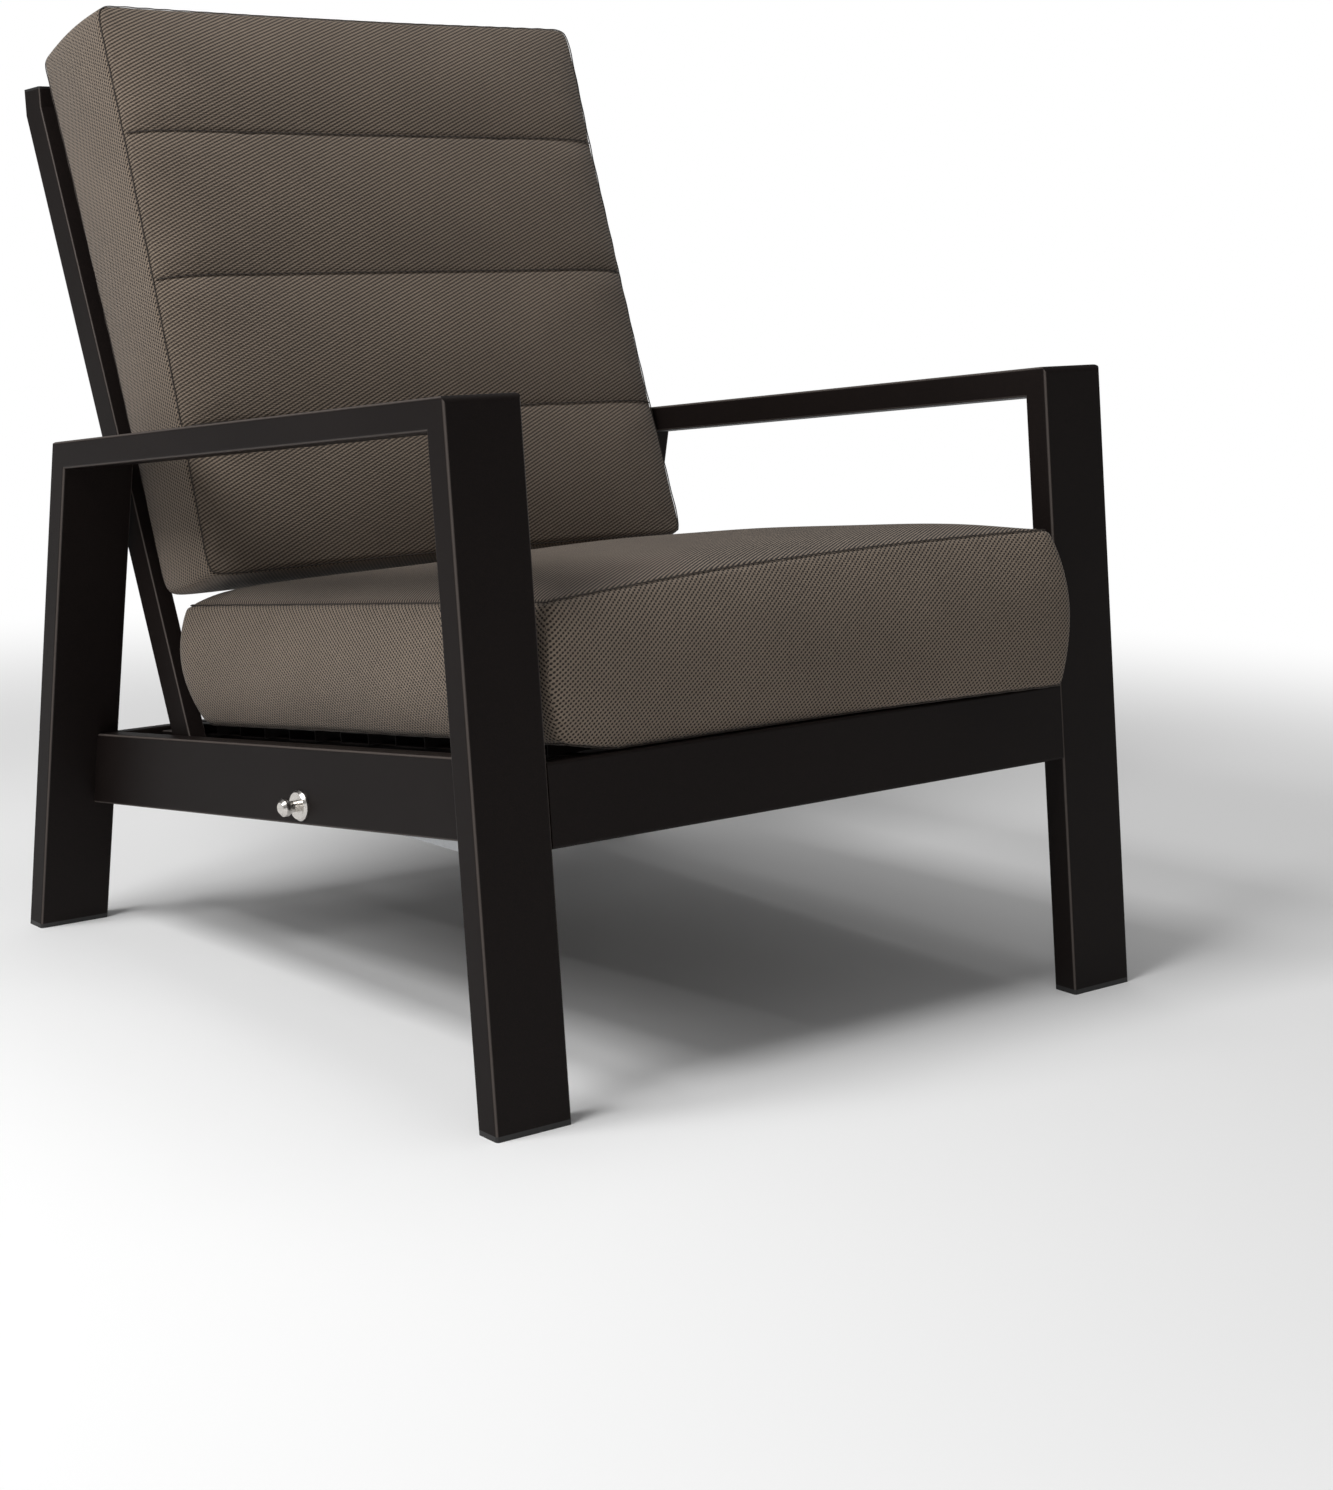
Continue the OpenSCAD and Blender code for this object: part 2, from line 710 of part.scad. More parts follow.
// Button spring, wound round the stem inside the rail
module button_spring() {
    color(steel_colour) translate([-neck_end_x, knob[0], knob[1]]) rotate([0, 90, 0])
        polyhedron(points = spring_points, faces = tube_faces(spring_rings, spring_sides));
}

spring_sides = 6;
spring_rings = 12 * spring_turns;
spring_r = (neck_d - spring_wire) / 2;
spring_len = neck_end_x - leg_in_x - rail_wall;
spring_points = [
    for (k = [0:spring_rings], s = [0:spring_sides - 1])
        let (turn = 360 * spring_turns * k / spring_rings)
        let (side = 360 * s / spring_sides)
        let (r = spring_r + spring_wire / 2 * cos(side))
        [
            r * cos(turn), r * sin(turn),
            spring_wire / 2 * sin(side) + side_gap + spring_wire / 2
                + (spring_len - 2 * side_gap - spring_wire) * k / spring_rings
        ]
];

// Faces of a closed tube of a number of rings and sides
function tube_faces(rings, sides) = concat(
    [
        for (k = [0:rings - 1], s = [0:sides - 1], half = [0, 1])
            let (n = (s + 1) % sides)
            half == 0 ? [k * sides + s, (k + 1) * sides + s, (k + 1) * sides + n]
                : [k * sides + s, (k + 1) * sides + n, k * sides + n]
    ],
    [for (s = [1:sides - 2]) [0, s, s + 1]],
    [for (s = [1:sides - 2]) [rings * sides, rings * sides + s + 1, rings * sides + s]]
);

// Draws a square grid's edge in to round plan corners: 1 inside, less towards the corners
function squircle(u, v) =
    let (m = max(abs(u), abs(v)))
    m == 0 ? 1 : m / pow(pow(abs(u), corner_power) + pow(abs(v), corner_power), 1 / corner_power);
function swell(u, v) = (1 - pow(abs(u), crown_power)) * (1 - pow(abs(v), crown_power));
function plan_u(u, v, w) = u * squircle(u, v) * (w / 2 - draw_in * (1 - v * v));
function plan_v(u, v, l) = v * squircle(u, v) * (l / 2 - draw_in * (1 - u * u));
function edge_way(u, v) = let (d = [pow(u, 7), pow(v, 7)]) d / norm(d);

// Closed cushion: an upper and a lower grid joined by a bulging boxing
module cushion_solid(us, vs, upper, lower, bulge) {
    nu = len(us) - 1;
    nv = len(vs) - 1;
    edge = concat(
        [for (i = [0:nu - 1]) [i, 0]], [for (j = [0:nv - 1]) [nu, j]],
        [for (i = [nu:-1:1]) [i, nv]], [for (j = [nv:-1:1]) [0, j]]
    );
    ne = len(edge);
    grid = (nu + 1) * (nv + 1);
    side = [
        for (f = [1:side_rings], e = edge)
            let (u = us[e[0]], v = vs[e[1]], k = f / (side_rings + 1), way = edge_way(u, v))
            let (p = lower(u, v) * (1 - k) + upper(u, v) * k)
            p + bulge * sin(180 * k) * [way[0], way[1], 0]
    ];
    points = concat([for (v = vs, u = us) upper(u, v)], [for (v = vs, u = us) lower(u, v)], side);
    level = function(f, e)
        f == 0 ? grid + edge[e % ne][1] * (nu + 1) + edge[e % ne][0]
            : f == side_rings + 1 ? edge[e % ne][1] * (nu + 1) + edge[e % ne][0]
            : 2 * grid + (f - 1) * ne + e % ne;
    faces = concat(
        [
            for (j = [0:nv - 1], i = [0:nu - 1], face = [0, grid], half = [0, 1])
                let (a = face + j * (nu + 1) + i, b = a + 1, c = a + nu + 2, d = a + nu + 1)
                face == 0 ? (half == 0 ? [a, c, b] : [a, d, c]) : (half == 0 ? [a, b, c] : [a, c, d])
        ],
        [
            for (f = [0:side_rings], e = [0:ne - 1], half = [0, 1])
                half == 0 ? [level(f, e), level(f + 1, e + 1), level(f, e + 1)]
                    : [level(f, e), level(f + 1, e), level(f + 1, e + 1)]
        ]
    );
    polyhedron(points = points, faces = faces);
}

// Grid lines from -1 to 1, closer together towards the edges
function edge_lines(n) = [for (i = [-n:n]) sin(90 * i / n)];

// Seat cushion: crowned above and highest in front, flat below, its rear end leaning with the back
module seat_cushion() {
    upper = function(u, v) [
        plan_u(u, v, seat_cushion_w),
        plan_v(u, v, seat_cushion_len) + (v + 1) / 2 * seat_rear_lean,
        seat_cushion_h + seat_seam_rise * (1 - u * u) * (1 - v) / 2
            + (seat_crown - seat_rear_fall * (v + 1) / 2) * swell(u, v)
    ];
    lower = function(u, v) [plan_u(u, v, seat_cushion_w), plan_v(u, v, seat_cushion_len), 0];
    place = seat_at(seat_cushion_len / 2 - seat_cushion_front, soft_gap);
    color(fabric_colour) translate([0, place[0] - mid_y, place[1]]) rotate([rail_a, 0, 0])
        cushion_solid(edge_lines(7), edge_lines(7), upper, lower, side_bulge);
}

// Back cushion: crowned in front with sewn channels, its rear face on the slats
module back_cushion() {
    rise = function(v) back_rear_low + (back_rear_top - back_rear_low) * (v + 1) / 2;
    thick = function(v) back_cushion_low_t + (back_cushion_top_t - back_cushion_low_t) * (v + 1) / 2;
    upper = function(u, v) [
        plan_u(u, v, back_cushion_w),
        plan_v(u, v, back_cushion_len),
        rise(v) + thick(v) + (back_crown - channel_depth * groove(v)) * swell(u, v)
    ];
    lower = function(u, v) [
        plan_u(u, v, back_cushion_w),
        plan_v(u, v, back_cushion_len) + back_rear_shift,
        rise(v) * (1 - swell(u, v))
    ];
    place = back_at(back_cushion_start + back_cushion_len / 2, upright_t / 2 + soft_gap);
    color(fabric_colour) translate([0, place[0] - mid_y, place[1]]) rotate([back_a, 0, 0])
        cushion_solid(edge_lines(6), back_lines, upper, lower, side_bulge);
}

// Sewn channels, as places from -1 to 1 along the back cushion
channel_v = [for (i = [0:channels - 1]) 2 * (channel_first + i * channel_pitch) / back_cushion_len - 1];
function groove(v) = max([for (c = channel_v) exp(-pow((v - c) * back_cushion_len / 2 / channel_half_w, 2))]);
panel_ends = concat([-1], channel_v, [1]);
back_lines = concat(
    [for (i = [0:channels], k = [0:5])
        let (f = [0, 0.08, 0.25, 0.5, 0.75, 0.92][k])
        panel_ends[i] * (1 - f) + panel_ends[i + 1] * f],
    [1]
);

left() front_leg();  // front_leg_left
right() front_leg();  // front_leg_right
left() rear_leg();  // rear_leg_left
right() rear_leg();  // rear_leg_right
left() armrest();  // armrest_left
right() armrest();  // armrest_right
left() side_rail();  // side_rail_left
right() side_rail();  // side_rail_right
left() front_rail();
left() rear_rail();
left() foot_cap(front_mid, front_a);  // foot_cap_front_left
right() foot_cap(front_mid, front_a);  // foot_cap_front_right
left() foot_cap(rear_mid, rear_a);  // foot_cap_rear_left
right() foot_cap(rear_mid, rear_a);  // foot_cap_rear_right
left() seat_bearer();  // seat_bearer_left
right() seat_bearer();  // seat_bearer_right
left() seat_slat(1);  // seat_slat_1
left() seat_slat(2);  // seat_slat_2
left() seat_slat(3);  // seat_slat_3
left() seat_slat(4);  // seat_slat_4
left() seat_slat(5);  // seat_slat_5
left() seat_slat(6);  // seat_slat_6
left() seat_slat(7);  // seat_slat_7
left() seat_slat_rivets();
left() back_upright();  // back_upright_left
right() back_upright();  // back_upright_right
left() upright_cap();  // upright_cap_left
right() upright_cap();  // upright_cap_right
left() back_slat(1);  // back_slat_1
left() back_slat(2);  // back_slat_2
left() back_slat(3);  // back_slat_3
left() back_slat(4);  // back_slat_4
left() back_slat(5);  // back_slat_5
left() back_tie_bar();
left() pivot_block();  // pivot_block_left
right() pivot_block();  // pivot_block_right
left() pivot_bolt();  // pivot_bolt_left
right() pivot_bolt();  // pivot_bolt_right
left() pivot_washer();  // pivot_washer_left
right() pivot_washer();  // pivot_washer_right
left() rail_insert();  // rail_insert_left
right() rail_insert();  // rail_insert_right
left() lock_bar();  // lock_bar_left
right() lock_bar();  // lock_bar_right
left() link_pin_piece();  // link_pin_left
right() link_pin_piece();  // link_pin_right
left() button_flange();  // button_flange_left
right() button_flange();  // button_flange_right
left() release_button();  // release_button_left
right() release_button();  // release_button_right
left() clamp_nut();  // clamp_nut_left
right() clamp_nut();  // clamp_nut_right
left() button_spring();  // button_spring_left
right() button_spring();  // button_spring_right
seat_cushion();
back_cushion();
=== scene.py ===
"""Outdoor lounge chair: the finishes of its metal frame, and its two boxed cushions."""
import json
import math

import bmesh
import bpy
from mathutils import Matrix, Vector, noise


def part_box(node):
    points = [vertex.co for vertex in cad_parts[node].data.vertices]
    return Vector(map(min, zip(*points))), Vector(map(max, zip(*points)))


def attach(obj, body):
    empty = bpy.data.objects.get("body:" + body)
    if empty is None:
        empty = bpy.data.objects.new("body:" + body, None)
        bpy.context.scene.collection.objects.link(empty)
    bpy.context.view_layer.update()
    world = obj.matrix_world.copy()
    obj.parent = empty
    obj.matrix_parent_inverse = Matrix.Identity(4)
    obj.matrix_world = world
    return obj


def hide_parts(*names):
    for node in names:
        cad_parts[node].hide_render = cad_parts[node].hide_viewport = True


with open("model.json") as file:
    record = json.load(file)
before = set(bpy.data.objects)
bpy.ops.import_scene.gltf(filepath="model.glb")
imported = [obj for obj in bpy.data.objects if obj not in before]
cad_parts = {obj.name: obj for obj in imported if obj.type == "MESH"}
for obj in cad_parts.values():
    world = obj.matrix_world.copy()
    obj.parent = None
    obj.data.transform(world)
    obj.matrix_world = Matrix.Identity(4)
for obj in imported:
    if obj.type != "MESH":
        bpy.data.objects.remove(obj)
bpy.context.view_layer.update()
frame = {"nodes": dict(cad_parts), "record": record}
nodes = frame["nodes"]
mm = 0.001

# The photograph's camera, in pixels, metres and radians
photo_width_px = 1333
photo_height_px = 1490
focal_px = 2739.5
camera_place = Vector((-1.6806, -2.2826, 0.8022))
camera_yaw = math.radians(39.248)
camera_pitch = math.radians(-11.727)
camera_roll = math.radians(0.708)
sensor = 36.0
nearest_seen = 50 * mm

# Cushions are nets of places u, v and w from -1 to 1: u runs to the right, v to the
# rear or the top, and w from the slats to the side that people sit on or lean on.
net_ease = 0.5
same_place = 1e-5

# Seat cushion. Its seams lie inside the fullest line of its sides by the seam inset.
seat_cells = (96, 96, 22)
seat_height = 124 * mm
seat_lean = 19 * mm
seat_crown = 31 * mm
seat_start_crown = 0.6
seat_rear_fall = 14 * mm
seat_rear_puff = 10 * mm
puff_edge_power = 18
seat_seam_rise = 12 * mm
seat_seam_inset = 8 * mm
seat_front_bulge = 14 * mm
seat_rear_bulge = 15 * mm
seat_sag = 10.8 * mm
sag_reach = 6 * mm
sag_left_ramp = 5

# The right front corner of the seat is pushed forward and stands higher. The powers say
# how fast that fades across the chair, and from front to rear.
seat_corner_push = 34 * mm
push_fades = (4, 2)
seat_corner_lift = 20 * mm
lift_fades = (2, 3)

# Back cushion
back_cells = (96, 96, 22)
back_crown = 26 * mm
back_start_crown = 0.72
back_rear_low = 2 * mm
back_rear_top = 9 * mm
back_low_t = 94 * mm
back_top_t = 133 * mm
back_rear_shift = 8 * mm
back_low_spread = 14 * mm
spread_fades = (2, 1.5)
channel_first = 155 * mm
channel_pitch = 155 * mm
channels = 3
channel_depth = 5 * mm
channel_half_w = 14 * mm

# What both cushions share
crown_power = 7
side_crown_power = 14
corner_power = 45
way_power = 7
draw_in = 3 * mm
side_bulge = 7 * mm
start_bulge = 0.6
lump_height = 1.6 * mm
lump_length = 130 * mm

# The CAD draws the arc of a cushion's sides in a few steps, so it bulges a little less
cad_side_steps = 3
cad_side_bulge = side_bulge * math.sin(math.pi / cad_side_steps)

# Seams and their thread
seam_depth = 2.4 * mm
channel_draw = 1.4 * mm
seam_pucker = 0.5 * mm
pucker_length = 23 * mm
pucker_slant = (1, 0.7, 0.4)
thread_d = 1.3 * mm
thread_lift = 1.2 * mm

# The filling that swells each cushion
swell_frames = 20
swell_cap = 24 * mm
pressure = 4.0
cover = {
    "quality": 5,
    "mass": 0.3,
    "pin_stiffness": 1.0,
    "tension_stiffness": 15,
    "compression_stiffness": 15,
    "shear_stiffness": 5,
    "bending_stiffness": 0.5,
}

# Finishes
# Pale colour painted on the frame's round edges as a highlight, and the most of it that is laid
# on
edge_highlight_colour = "#8c827c"
edge_highlight_share = 0.28
drift_share = 0.35
weft_dark = "#675b51"
weft_light = "#938474"
warp = "#211c19"
# Thread colours: partly the thread's own, partly painted shade that darkens the seams' folds
thread_and_fold_shade_dark = "#211b17"
thread_and_fold_shade_light = "#372e27"
seat_twill = math.radians(31)
back_twill = math.radians(24)
boxing_twill = math.radians(38)
twill_period = 3.4 * mm
dot_period = 3.4 * mm
weft_period = 1.8 * mm
twill_waver = 0.4
slub_stretch = (90, 900, 1)

# Scale at which Blender's wave texture repeats every metre
metre_wave = 2 * math.pi / 20

# Stage and light, in metres and watts: each softbox has its place, its side and its power
floor_radius = 12
floor_white = 0.9
fade_from = 1.1
fade_to = 2.4
sky_level = 0.2
light_aim = Vector((0, 0, 0.4))
softboxes = {
    "left_softbox": ((-2.1, -0.2, 2.9), 1.6, 98),
    "top_softbox": ((0.4, 0.2, 3.6), 1.6, 20),
    "camera_side_key": ((-2.5, -3.3, 0.9), 0.7, 11),
}
white = (1, 1, 1, 1)


# Small helpers
def linear(code):
    """An sRGB hex colour as linear red, green, blue and 1."""
    parts = [int(code[i:i + 2], 16) / 255 for i in (1, 3, 5)]
    return tuple(
        c / 12.92 if c <= 0.04045 else ((c + 0.055) / 1.055) ** 2.4 for c in parts
    ) + (1.0,)


def mix(a, b, t):
    """A value that goes from a to b as t goes from 0 to 1."""
    return a + (b - a) * t


def collect(obj):
    """Links a new object into the scene."""
    bpy.context.scene.collection.objects.link(obj)
    return obj


# Shader nodes
def material(name):
    """A new material with no nodes yet."""
    made = bpy.data.materials.new(name)
    made.use_nodes = True
    made.node_tree.nodes.clear()
    return made


def add(tree, kind, settings):
    """A shader node, where each setting is a value or the socket that feeds it."""
    made = tree.nodes.new("ShaderNode" + kind)
    for key, value in settings.items():
        if isinstance(value, bpy.types.NodeSocket):
            tree.links.new(value, made.inputs[key])
        elif isinstance(key, int) or key in made.inputs:
            made.inputs[key].default_value = value
        else:
            setattr(made, key, value)
    return made


def on_object(tree):
    """Places on a piece, in metres."""
    return add(tree, "TexCoord", {}).outputs["Object"]


def speckle(tree, place, grains, detail, roughness=0.5):
    """Soft noise from 0 to 1, at so many grains in a metre."""
    settings = {"Vector": place, "Scale": grains, "Detail": detail, "Roughness": roughness}
    return add(tree, "TexNoise", settings).outputs["Fac"]


def bands(tree, place, direction, period, waver=0.0):
    """Bands from 0 to 1 that repeat every so many metres."""
    return add(tree, "TexWave", {
        "wave_type": "BANDS", "bands_direction": direction, "Vector": place,
        "Scale": metre_wave / period, "Distortion": waver, "Detail Scale": 0.3,
    }).outputs["Fac"]


def stretched(tree, place, settings):
    """Places that are scaled or turned before a texture reads them."""
    return add(tree, "Mapping", {"Vector": place, **settings}).outputs[0]


def ramp(tree, value, start, end, low=0.0, high=1.0):
    """A value between start and end, as one between low and high."""
    return add(tree, "MapRange", {
        "Value": value, "From Min": start, "From Max": end, "To Min": low, "To Max": high,
    }).outputs[0]


def maths(tree, operation, a, b, clamp=False):
    """One step of arithmetic on two values."""
    settings = {"operation": operation, "use_clamp": clamp, 0: a, 1: b}
    return add(tree, "Math", settings).outputs[0]


def mixed(tree, share, a, b, kind="MIX"):
    """A share of one colour laid over another."""
    settings = {"blend_type": kind, "Fac": share, "Color1": a, "Color2": b}
    return add(tree, "MixRGB", settings).outputs[0]


def bumped(tree, height, strength, depth):
    """The surface's direction, bent by a relief that is so many metres deep."""
    settings = {"Height": height, "Strength": strength, "Distance": depth}
    return add(tree, "Bump", settings).outputs[0]


def finish_with(tree, settings):
    """Ends a material in one Principled shader."""
    skin = add(tree, "BsdfPrincipled", settings)
    add(tree, "OutputMaterial", {"Surface": skin.outputs[0]})


# Materials
def powder_coat(name, dark, light):
    """Powder coat on aluminium: matt and finely sandy, with a soft drift and a painted highlight
    along its round edges.
    """
    made = material(name)
    tree = made.node_tree
    place = on_object(tree)
    grain = speckle(tree, place, grains=900, detail=3, roughness=0.6)
    drift = speckle(tree, place, grains=7, detail=2)
    specks = ramp(tree, grain, start=0.35, end=0.75)
    tone = mixed(tree, specks, linear(dark), linear(light))
    drifted = mixed(tree, drift_share, tone, drift, "MULTIPLY")
    finish_with(tree, {
        # The round edges are painted paler, as a highlight
        "Base Color": mixed(tree, painted_edge_highlight(tree), drifted, linear(edge_highlight_colour)),
        "Roughness": ramp(tree, grain, start=0.3, end=0.7, low=0.42, high=0.56),
        "Normal": bumped(tree, grain, strength=0.25, depth=0.2 * mm),
        "IOR": 1.5,
        "Specular IOR Level": 0.1,
    })
    return made


def painted_edge_highlight(tree):
    """A painted highlight: paler edges where a tube's round edge turns from its side to another
    face.
    """
    normal = add(tree, "NewGeometry", {}).outputs["Normal"]
    sideways = add(tree, "SeparateXYZ", {"Vector": normal}).outputs["X"]
    side = maths(tree, "POWER", sideways, 2)
    turning = maths(tree, "MULTIPLY", side, maths(tree, "SUBTRACT", 1, side))
    return ramp(tree, turning, start=0.05, end=0.25, low=0, high=edge_highlight_share)


def moulded_plastic(name, colour, rough_from, rough_to):
    """Moulded polyamide: smooth and dark, with the faint mottle of a spark-eroded mould."""
    made = material(name)
    tree = made.node_tree
    mottle = speckle(tree, on_object(tree), grains=1500, detail=2)
    finish_with(tree, {
        "Base Color": linear(colour),
        "Roughness": ramp(tree, mottle, start=0, end=1, low=rough_from, high=rough_to),
        "Normal": bumped(tree, mottle, strength=0.2, depth=0.1 * mm),
        "IOR": 1.53,
    })
    return made


def worked_steel(name, colour, stretch, rough_from, rough_to):
    """Plated or turned steel: bright, with fine lines that run round or along it."""
    made = material(name)
    tree = made.node_tree
    lines = stretched(tree, on_object(tree), {"Scale": stretch})
    scratch = speckle(tree, lines, grains=1, detail=4)
    finish_with(tree, {
        "Base Color": linear(colour),
        "Metallic": 1.0,
        "Roughness": ramp(tree, scratch, start=0.3, end=0.7, low=rough_from, high=rough_to),
        "Normal": bumped(tree, scratch, strength=0.15, depth=0.05 * mm),
    })
    return made


def woven_cloth(name, twill_angle, line_share, dark_share):
    """Outdoor acrylic cloth: beige weft over a near-black warp that shows in slanting lines."""
    made = material(name)
    tree = made.node_tree
    flat = add(tree, "TexCoord", {}).outputs["UV"]
    turned = stretched(tree, flat, {"Rotation": (0, 0, -twill_angle)})
    lines = bands(tree, turned, "Y", twill_period, twill_waver)
    dots = bands(tree, turned, "X", dot_period, twill_waver)
    weft = bands(tree, flat, "Y", weft_period)
    broken = ramp(tree, dots, start=0, end=1, low=line_share, high=1)
    dark = maths(tree, "MULTIPLY", lines, broken)
    mask = ramp(tree, dark, start=0.22, end=0.55, low=0, high=dark_share)
    drawn = stretched(tree, flat, {"Scale": slub_stretch})
    slub = speckle(tree, drawn, grains=1, detail=3, roughness=0.6)
    yarn = mixed(tree, slub, linear(weft_dark), linear(weft_light))
    cloth = mixed(tree, mask, yarn, linear(warp))
    clouds = speckle(tree, flat, grains=9, detail=3)
    worn = ramp(tree, clouds, start=0.3, end=0.7, low=0.86, high=1)
    fuzz = speckle(tree, flat, grains=140, detail=1)
    relief = maths(tree, "ADD", maths(tree, "SUBTRACT", weft, mask), fuzz)
    finish_with(tree, {
        "Base Color": mixed(tree, 1, cloth, worn, "MULTIPLY"),
        "Roughness": 0.88,
        "Normal": bumped(tree, relief, strength=0.5, depth=0.4 * mm),
        "IOR": 1.45,
        "Specular IOR Level": 0.25,
        "Sheen Weight": 0.12,
        "Sheen Roughness": 0.5,
    })
    return made


def stitch_thread(name):
    """Bonded polyester thread: matt, with the fine relief of its twist, and near-black partly by
    its own colour and partly as painted shade of the seams' folds.
    """
    made = material(name)
    tree = made.node_tree
    ply = speckle(tree, on_object(tree), grains=1200, detail=2)
    finish_with(tree, {
        "Base Color": mixed(tree, ply, linear(thread_and_fold_shade_dark), linear(thread_and_fold_shade_light)),
        "Roughness": 0.7,
        "Normal": bumped(tree, ply, strength=0.4, depth=0.1 * mm),
    })
    return made


finishes = {
    "frame_coat": powder_coat("frame_powder_coat", "#151110", "#211a18"),
    "slat_coat": powder_coat("slat_powder_coat", "#13100f", "#1d1817"),
    "black_plastic": moulded_plastic("cap_polyamide", "#141313", rough_from=0.42, rough_to=0.6),
    "nylon": moulded_plastic("bearing_nylon", "#1a1a1a", rough_from=0.3, rough_to=0.45),
    "zinc_steel": worked_steel(
        "zinc_plated_steel", "#a9abad", stretch=(300, 300, 300), rough_from=0.3, rough_to=0.5),
    "stainless_steel": worked_steel(
        "turned_stainless_steel", "#cfcbc6", stretch=(3000, 120, 120),
        rough_from=0.16, rough_to=0.34),
}
seat_cloth = woven_cloth("woven_seat_panel_cloth", seat_twill, line_share=0.8, dark_share=1)
back_cloth = woven_cloth("woven_back_panel_cloth", back_twill, line_share=0.6, dark_share=0.85)
boxing_cloth = woven_cloth("woven_boxing_cloth", boxing_twill, line_share=0.3, dark_share=1)
thread = stitch_thread("bonded_thread_and_painted_fold_shade")


def dress_frame():
    """Gives each hard CAD node the finish of its slot in the record."""
    for part in frame["record"]["subparts"]:
        if part["material_slot"] in finishes:
            held = nodes[part["node"]].data.materials
            held.clear()
            held.append(finishes[part["material_slot"]])


# A cushion's place, from the CAD's slats and its plain cushion
def middle(name):
    """The middle of a CAD node's box."""
    low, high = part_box(name)
    return (low + high) / 2


def turned_like(first, last):
    """A turn whose Y runs from one slat to another in the side view, with X across the chair."""
    y = middle(last) - middle(first)
    y.x = 0
    y.normalize()
    x = Vector((1, 0, 0))
    return Matrix((x, y, x.cross(y))).transposed()


def extent(name, turn):
    """Lowest and highest corners of a CAD node, measured along a turn's own directions."""
    back = turn.inverted()
    points = [back @ v.co for v in nodes[name].data.vertices]
    low = Vector([min(p[i] for p in points) for i in range(3)])
    high = Vector([max(p[i] for p in points) for i in range(3)])
    return low, high


# A cushion's net
def eased(t):
    """Turns even steps from 0 to 1 into steps that are closer at both ends."""
    return t - net_ease * math.sin(2 * math.pi * t) / (2 * math.pi)


def eased_line(t, ends):
    """The same for a line of stretches that meet at the given places, from -1 to 1."""
    stretch = (t + 1) / 2 * (len(ends) - 1)
    i = min(int(stretch + same_place), len(ends) - 2)
    return mix(ends[i], ends[i + 1], eased(stretch - i))


def cell_net(cells):
    """A closed box from -1 to 1, cut into cells along each of its three directions."""
    net = bmesh.new()
    bmesh.ops.create_cube(net, size=2)
    for axis, count in enumerate(cells):
        along = [e for e in net.edges if abs(e.verts[0].co[axis] - e.verts[1].co[axis]) > 1]
        bmesh.ops.subdivide_edges(net, edges=along, cuts=count - 1, use_grid_fill=True)
    return net


def on_edge(t):
    """Whether a place is at either end of one direction of the net."""
    return abs(t) > 1 - same_place


def on_side(u, v):
    return on_edge(u) or on_edge(v)


def on_bottom(w):
    return w < -1 + same_place


def on_top(w):
    return w > 1 - same_place


def at_one_end(spots, axis):
    """Whether a face's corners all lie on one end of the net along an axis."""
    return abs(sum(spot[axis] for spot in spots)) > len(spots) - same_place


# A cushion's form
def before_filling(size, share):
    """A size as it is before the filling swells it, or in full where nothing swells."""
    return size * share


def swell(u, v):
    """A panel's crown, from 0 at its seams to 1 in the middle."""
    return (1 - abs(u) ** side_crown_power) * (1 - abs(v) ** crown_power)


def squircle(u, v):
    """Draws a square net's edge in to round plan corners."""
    furthest = max(abs(u), abs(v))
    if furthest == 0:
        return 1
    return furthest / (abs(u) ** corner_power + abs(v) ** corner_power) ** (1 / corner_power)


def plan(u, v, width, length):
    """A place in plan, with the sides drawn in between round corners."""
    s = squircle(u, v)
    return (
        u * s * (width / 2 - draw_in * (1 - v * v)),
        v * s * (length / 2 - draw_in * (1 - u * u)),
    )


def outward(u, v):
    """The way out from a side, which turns smoothly at the corners, or none on a panel."""
    if not on_side(u, v):
        return Vector()
    return Vector((u ** way_power, v ** way_power, 0)).normalized()


# Making a cushion
def lay_cloth(net, spots, forms):
    """UV places in metres along the cloth, and the boxing's own cloth on the sides."""
    flat = net.loops.layers.uv.new("cloth")
    for face in net.faces:
        ends = [spots[vert.index] for vert in face.verts]
        panel, side = at_one_end(ends, 2), at_one_end(ends, 0)
        face.material_index = 0 if panel else 1
        face.smooth = True
        a, b = (0, 1) if panel else (1, 2) if side else (0, 2)
        for loop in face.loops:
            place = forms[loop.vert.index]
            loop[flat].uv = (place[a], place[b])


def build_cushion(name, panel, cells, lines, form, held, turn, place):
    """A fine net laid on its form, swollen by its filling where nothing holds it."""
    net = cell_net(cells)
    for vert in net.verts:
        vert.co = [eased_line(vert.co[i], lines[i]) for i in range(3)]
    net.verts.index_update()
    spots = [tuple(vert.co) for vert in net.verts]
    forms = [form(*spot) for spot in spots]
    lay_cloth(net, spots, forms)
    for vert, shape in zip(net.verts, forms):
        vert.co = turn @ (Vector(place) + shape)
    bmesh.ops.recalc_face_normals(net, faces=net.faces)
    mesh = bpy.data.meshes.new(name)
    net.to_mesh(mesh)
    net.free()
    piece = collect(bpy.data.objects.new(name, mesh))
    mesh.materials.append(panel)
    mesh.materials.append(boxing_cloth)
    fill_with_pressure(piece, [i for i, spot in enumerate(spots) if held(*spot)])
    for vert, spot in zip(mesh.vertices, spots):
        if not held(*spot):
            vert.co += vert.normal * lump_height * noise.noise(vert.co / lump_length)
    mesh.update()
    return piece, spots


